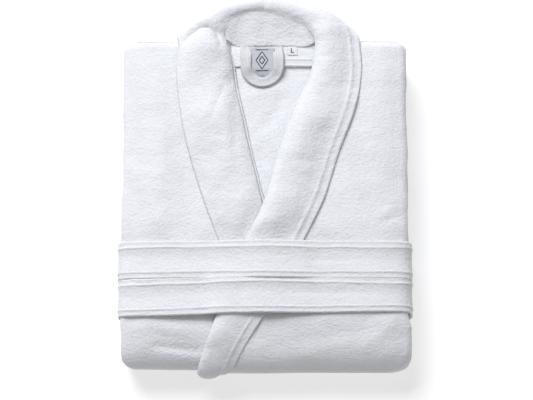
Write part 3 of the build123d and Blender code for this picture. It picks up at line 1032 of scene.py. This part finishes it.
class RobePockets(bpy.types.Operator):
    """Makes the patch pockets, the welts along their mouths and the thread loops for the belt"""

    bl_idname = "mesh.robe_pockets"
    bl_label = "Pockets and belt loops"

    def execute(self, context):
        for side in ("left", "right"):
            for part in ("pocket", "pocket_welt"):
                node = f"{side}_{part}"
                low, high = box_mm(node)
                x, y = spaced(low[0] + 1, high[0] - 1, 2.4), spaced(low[1] + 1, high[1] - 1, 2.4)
                grid = grid_of(x[:, None], y[None, :], (low[2] + high[2]) / 2 - 0.2)
                if part == "pocket":
                    centre, half = (low[0] + high[0]) / 2, (high[0] - low[0]) / 2
                    rounding = 0.20 * np.clip((y - (high[1] - 24)) / 24, 0, 1) ** 2.5
                    away = grid[..., 0] - centre
                    grid[..., 0] = centre + away * (1 - rounding * np.abs(away) / half)
                    from_side = np.minimum(grid[..., 0] - low[0], high[0] - grid[..., 0])
                    rim = np.minimum(from_side, high[1] - grid[..., 1])
                    seam = -0.6 * np.exp(-(((rim - 5) / 1.1) ** 2))
                else:
                    seam = -0.7 * np.exp(-(((high[1] - grid[..., 1] - 4) / 1.1) ** 2))
                piece = cloth_sheet(node + "_cloth", grid, 3.0, shape=seam + 0.8 * nap(grid, 91), give=())
                size = (high - low) * MM
                cover(piece, node, "terry", (size[0], size[1]), "stretched", f"{side}_front")
            node = f"{side}_belt_loop"
            low, high = box_mm(node)
            loop = flat_patch(node + "_braid", node, (0, 0, 0, 0), 0.0, 1.6, 2.0,
                              lambda g: 0.2 * np.sin(g[..., 1] * 1.6))
            flat = (BELT_LOOP_WIDTH, (high[1] - low[1]) * MM)
            cover(loop, node, "tape", flat, "stretched", f"{side}_front", slot="binding")
        return {"FINISHED"}


# ---------- the belt


def half_outline(points):
    """One side of a convex outline, through points in order of x."""
    chain = []
    for x, z in points:
        while len(chain) > 1:
            (x0, z0), (x1, z1) = chain[-2:]
            if (x1 - x0) * (z - z0) - (z1 - z0) * (x - x0) > 0:
                break
            chain.pop()
        chain.append((x, z))
    return chain[:-1]


def outline(points):
    """The convex outline of points (x, z), anticlockwise."""
    points = sorted(set(map(tuple, np.round(points, 2))))
    return np.array(half_outline(points) + half_outline(points[::-1]))


def resample(path, pitch):
    reach = running_total(np.linalg.norm(np.diff(path, axis=0), axis=1))
    at = spaced(0, reach[-1], pitch)
    return np.stack([np.interp(at, reach, path[:, k]) for k in range(path.shape[1])], -1)


def band_over(y_middle, stack):
    """From under the right side, over the top and down under the left side, round what lies at that Y."""
    near = stack[np.abs(stack[:, 1] - y_middle) < BELT_WIDTH / 2 + 2]
    hull = outline(np.concatenate([near[:, [0, 2]], [[-HALF_WIDTH + 12, 3.0], [HALF_WIDTH - 12, 3.0]]]))
    start = int(np.argmin(np.hypot(hull[:, 0] + HALF_WIDTH, hull[:, 1] - 3)))
    ring = np.roll(np.roll(hull, -start, axis=0)[::-1], 1, axis=0)
    ring = np.concatenate([[[-HALF_WIDTH + 22, 3.0]], ring[ring[:, 1] > 6], [[HALF_WIDTH - 22, 3.0]]])
    ring = resample(ring, 2.0)
    # The belt dips part of the way into the hollows that the outline bridges.
    for k in np.flatnonzero(ring[:, 1] > 55):
        surface = near[np.abs(near[:, 0] - ring[k, 0]) < 6, 2].max(initial=0)
        ring[k, 1] -= 0.55 * np.clip(ring[k, 1] - surface, 0, 12)
    tangent = unit(np.gradient(blur(ring.copy(), 8), axis=0))
    ring = ring + 2.1 * np.stack([-tangent[:, 1], tangent[:, 0]], -1)
    ring = blur(resample(ring, 2.0), 14)
    ring[:, 1] = np.maximum(ring[:, 1], BELT_UNDER)
    return np.stack([ring[:, 0], np.full(len(ring), y_middle), ring[:, 1]], -1)


def belt_path(stack, upper, lower):
    """A tucked end, the upper turn, a crossing underneath, the lower turn and the other end."""
    first, second = band_over(upper, stack), band_over(lower, stack)
    second[:, 1] += 3.2 * step(-150, 0, second[:, 0])
    top_of_first = first[first[:, 2] > 60]
    beside = np.interp(second[:, 0], top_of_first[:, 0], top_of_first[:, 2])
    second[:, 2] += 0.65 * np.clip(beside - second[:, 2] - 0.4, 0, 6) * step(60, 66, second[:, 2])
    tuck = [(-105, upper), (-140, upper)]
    crossing = [(110, upper), (60, upper - 10), (0, (upper + lower) / 2), (-60, lower + 10), (-110, lower)]
    tail = [(140, lower - 1), (100, lower - 17), (50, lower - 38), (0, lower - 44), (-60, lower - 44),
            (-148, lower - 44)]
    tuck, crossing, tail = (
        np.array([(x, y, BELT_UNDER) for x, y in run]) for run in (tuck, crossing, tail)
    )
    return blur(resample(np.concatenate([tuck, first, crossing, second, tail]), 2.6), 6)


class RobeBelt(bpy.types.Operator):
    """Makes the belt, wound twice round the folded robe in one length"""

    bl_idname = "mesh.robe_belt"
    bl_label = "Belt"

    def execute(self, context):
        clouds = []
        for name in ("left_front", "right_front", "left_collar_cloth", "right_collar_cloth"):
            mesh = bpy.data.objects[name].data
            flat = np.empty(len(mesh.vertices) * 3)
            mesh.vertices.foreach_get("co", flat)
            clouds.append(flat.reshape(-1, 3) / MM)
        upper = BELT_TOP_Y - BELT_WIDTH / 2
        lower = BELT_TOP_Y - BELT_PITCH - BELT_WIDTH / 2
        path = belt_path(np.concatenate(clouds), upper, lower)
        tangent = unit(np.gradient(path, axis=0))
        way = unit(np.array([0.0, 1.0, 0.0]) - tangent * tangent[:, 1:2])
        share = np.linspace(-0.5, 0.5, 45)
        second_turn = step(upper - 25, lower + 10, path[:, 1]) * step(50, 66, path[:, 2])
        width = BELT_WIDTH * (1 - 0.10 * step(30, 168, path[:, 0]) * second_turn)
        grid = path[:, None, :] + way[:, None, :] * (share[None, :] * width[:, None])[..., None]
        on_top = step(50, 66, grid[..., 2])
        x, y = grid[..., 0], grid[..., 1]
        rumple = waves(x / 15, y / 30, 0.0, 95) * step(-105, -150, x) * on_top
        upper_edge = step(lower + 10, lower + 21, y) * step(upper - 18, upper - 24, y)
        grid[..., 2] += 1.4 * rumple * upper_edge
        grid[..., 1] += -1.5 * np.abs(rumple) * upper_edge
        grid[..., 2] += 0.5 * waves(x / 40, y / 22, 0.0, 96) * on_top

        # A sewn edging on both sides, a groove beside it and a soft crown between the grooves.
        from_edge = (0.5 - np.abs(share)) * BELT_WIDTH
        hem = 6.6 + 0.7 * waves(x / 30, np.sign(share)[None, :] * 3.0, 0.0, 98)
        inside = np.clip((from_edge - hem) / (BELT_WIDTH / 2 - hem), 0, 1)
        groove = -1.5 * np.exp(-(((from_edge - hem) / 1.0) ** 2)) * (1 + 0.4 * waves(x / 11, y / 9, 0.0, 99))
        roundness = np.sin(np.clip(from_edge / hem, 0, 1) * math.pi)
        edging = roundness * (0.8 + 0.35 * waves(x / 5, y / 8, 0.0, 100))
        crown = 3.4 * np.sin(inside * math.pi / 2) * (1 + 0.55 * np.sin(np.clip(2 * share, -1, 1) * 1.6))
        lines = 0.7 * waves(x / 75, y / 6.5, 0.0, 101) * inside
        shape = groove + edging + crown * (0.35 + 0.65 * on_top) + lines + 0.6 * nap(grid, 97)
        shape *= 0.35 + 0.65 * step(4, 10, grid[..., 2])
        thickness = np.where(grid[..., 2] < 6, 3.8, context.scene.robe_sizes.belt_cloth / MM)
        piece = cloth_sheet("belt_cloth", grid, thickness, shape=shape, give=())
        length = float(np.linalg.norm(np.diff(path, axis=0), axis=1).sum()) * MM
        flat = (BELT_WIDTH * MM, round(length, 3))
        cover(piece, "belt", "belt", flat, "folded", "left_front", "right_front", body="belt")
        return {"FINISHED"}


# ---------- the stage


class RobeStage(bpy.types.Operator):
    """Makes the pale floor, the soft lights and the camera"""

    bl_idname = "scene.robe_stage"
    bl_label = "Stage"

    def execute(self, context):
        stage = context.scene.robe_stage
        bpy.ops.object.select_all(action="DESELECT")
        bpy.ops.mesh.primitive_plane_add(size=8, location=(0, 0, -0.0002))
        floor = context.object
        floor.name = "floor"
        graph = Graph("white floor")
        shader = graph.node("ShaderNodeBsdfPrincipled", {}, {
            "Base Color": (stage.floor,) * 3 + (1,), "Roughness": 0.9, "Specular IOR Level": 0.1,
            "Emission Color": (1.0, 1.0, 1.0, 1), "Emission Strength": stage.glow})[0]
        graph.node("ShaderNodeOutputMaterial", {}, {"Surface": shader})
        paint(floor, graph.material)

        world = bpy.data.worlds.new("studio")
        context.scene.world = world
        world.use_nodes = True
        background = world.node_tree.nodes["Background"]
        background.inputs["Color"].default_value = (1.0, 0.998, 0.99, 1)
        background.inputs["Strength"].default_value = stage.sky

        for name, place, size, power in (
            ("key", (-0.95, 1.9, 2.45), 1.8, stage.key),
            ("fill", (1.0, -0.3, 2.8), 2.4, stage.key * 0.06),
        ):
            bpy.ops.object.light_add(type="AREA", location=place)
            light = context.object
            light.name = name
            light.data.size = size
            light.data.energy = power
            light.data.color = (0.935, 0.952, 1.0)
            light.rotation_euler = (Vector((0, 0, 0.05)) - Vector(place)).to_track_quat("-Z", "Y").to_euler()

        tilt, distance = stage.tilt, stage.distance
        place = (stage.aim_x, stage.aim_y - distance * math.sin(tilt), TOP * MM + distance * math.cos(tilt))
        bpy.ops.object.camera_add(location=place, rotation=(tilt, 0, 0))
        camera = context.object
        camera.data.angle = 2 * math.atan(stage.view_width / 2 / distance)
        camera.data.clip_end = 50
        context.scene.camera = camera
        context.scene.view_settings.view_transform = "Standard"
        context.scene.view_settings.look = "None"
        return {"FINISHED"}


class RobePanel(bpy.types.Panel):
    """Lists the steps that make the robe"""

    bl_idname = "VIEW3D_PT_robe"
    bl_label = "Folded Bathrobe"
    bl_space_type = "VIEW_3D"
    bl_region_type = "UI"
    bl_category = "Bathrobe"

    def draw(self, context):
        for group in (context.scene.robe_sizes, context.scene.robe_colours, context.scene.robe_stage):
            box = self.layout.box()
            for name in group.__annotations__:
                box.prop(group, name)
        for operator in STEPS:
            self.layout.operator(operator.bl_idname)


STEPS = (RobePanels, RobeSleeves, RobeCollar, RobeNeck, RobeLoop, RobeLabels, RobePockets, RobeBelt,
         RobeStage)
CLASSES = (RobeSizes, RobeColours, StageSettings, *STEPS, RobePanel)


def register():
    for cls in CLASSES:
        bpy.utils.register_class(cls)
    bpy.types.Scene.robe_sizes = PointerProperty(type=RobeSizes)
    bpy.types.Scene.robe_colours = PointerProperty(type=RobeColours)
    bpy.types.Scene.robe_stage = PointerProperty(type=StageSettings)


def unregister():
    del bpy.types.Scene.robe_sizes, bpy.types.Scene.robe_colours, bpy.types.Scene.robe_stage
    for cls in reversed(CLASSES):
        bpy.utils.unregister_class(cls)


def main():
    register()
    bpy.ops.object.select_all(action="DESELECT")
    bpy.ops.mesh.robe_panels()
    bpy.ops.mesh.robe_sleeves()
    bpy.ops.mesh.robe_collar()
    bpy.ops.mesh.robe_neck()
    bpy.ops.mesh.robe_loop()
    bpy.ops.mesh.robe_labels()
    bpy.ops.mesh.robe_pockets()
    bpy.ops.mesh.robe_belt()
    bpy.ops.scene.robe_stage()


if __name__ == "__main__":
    main()
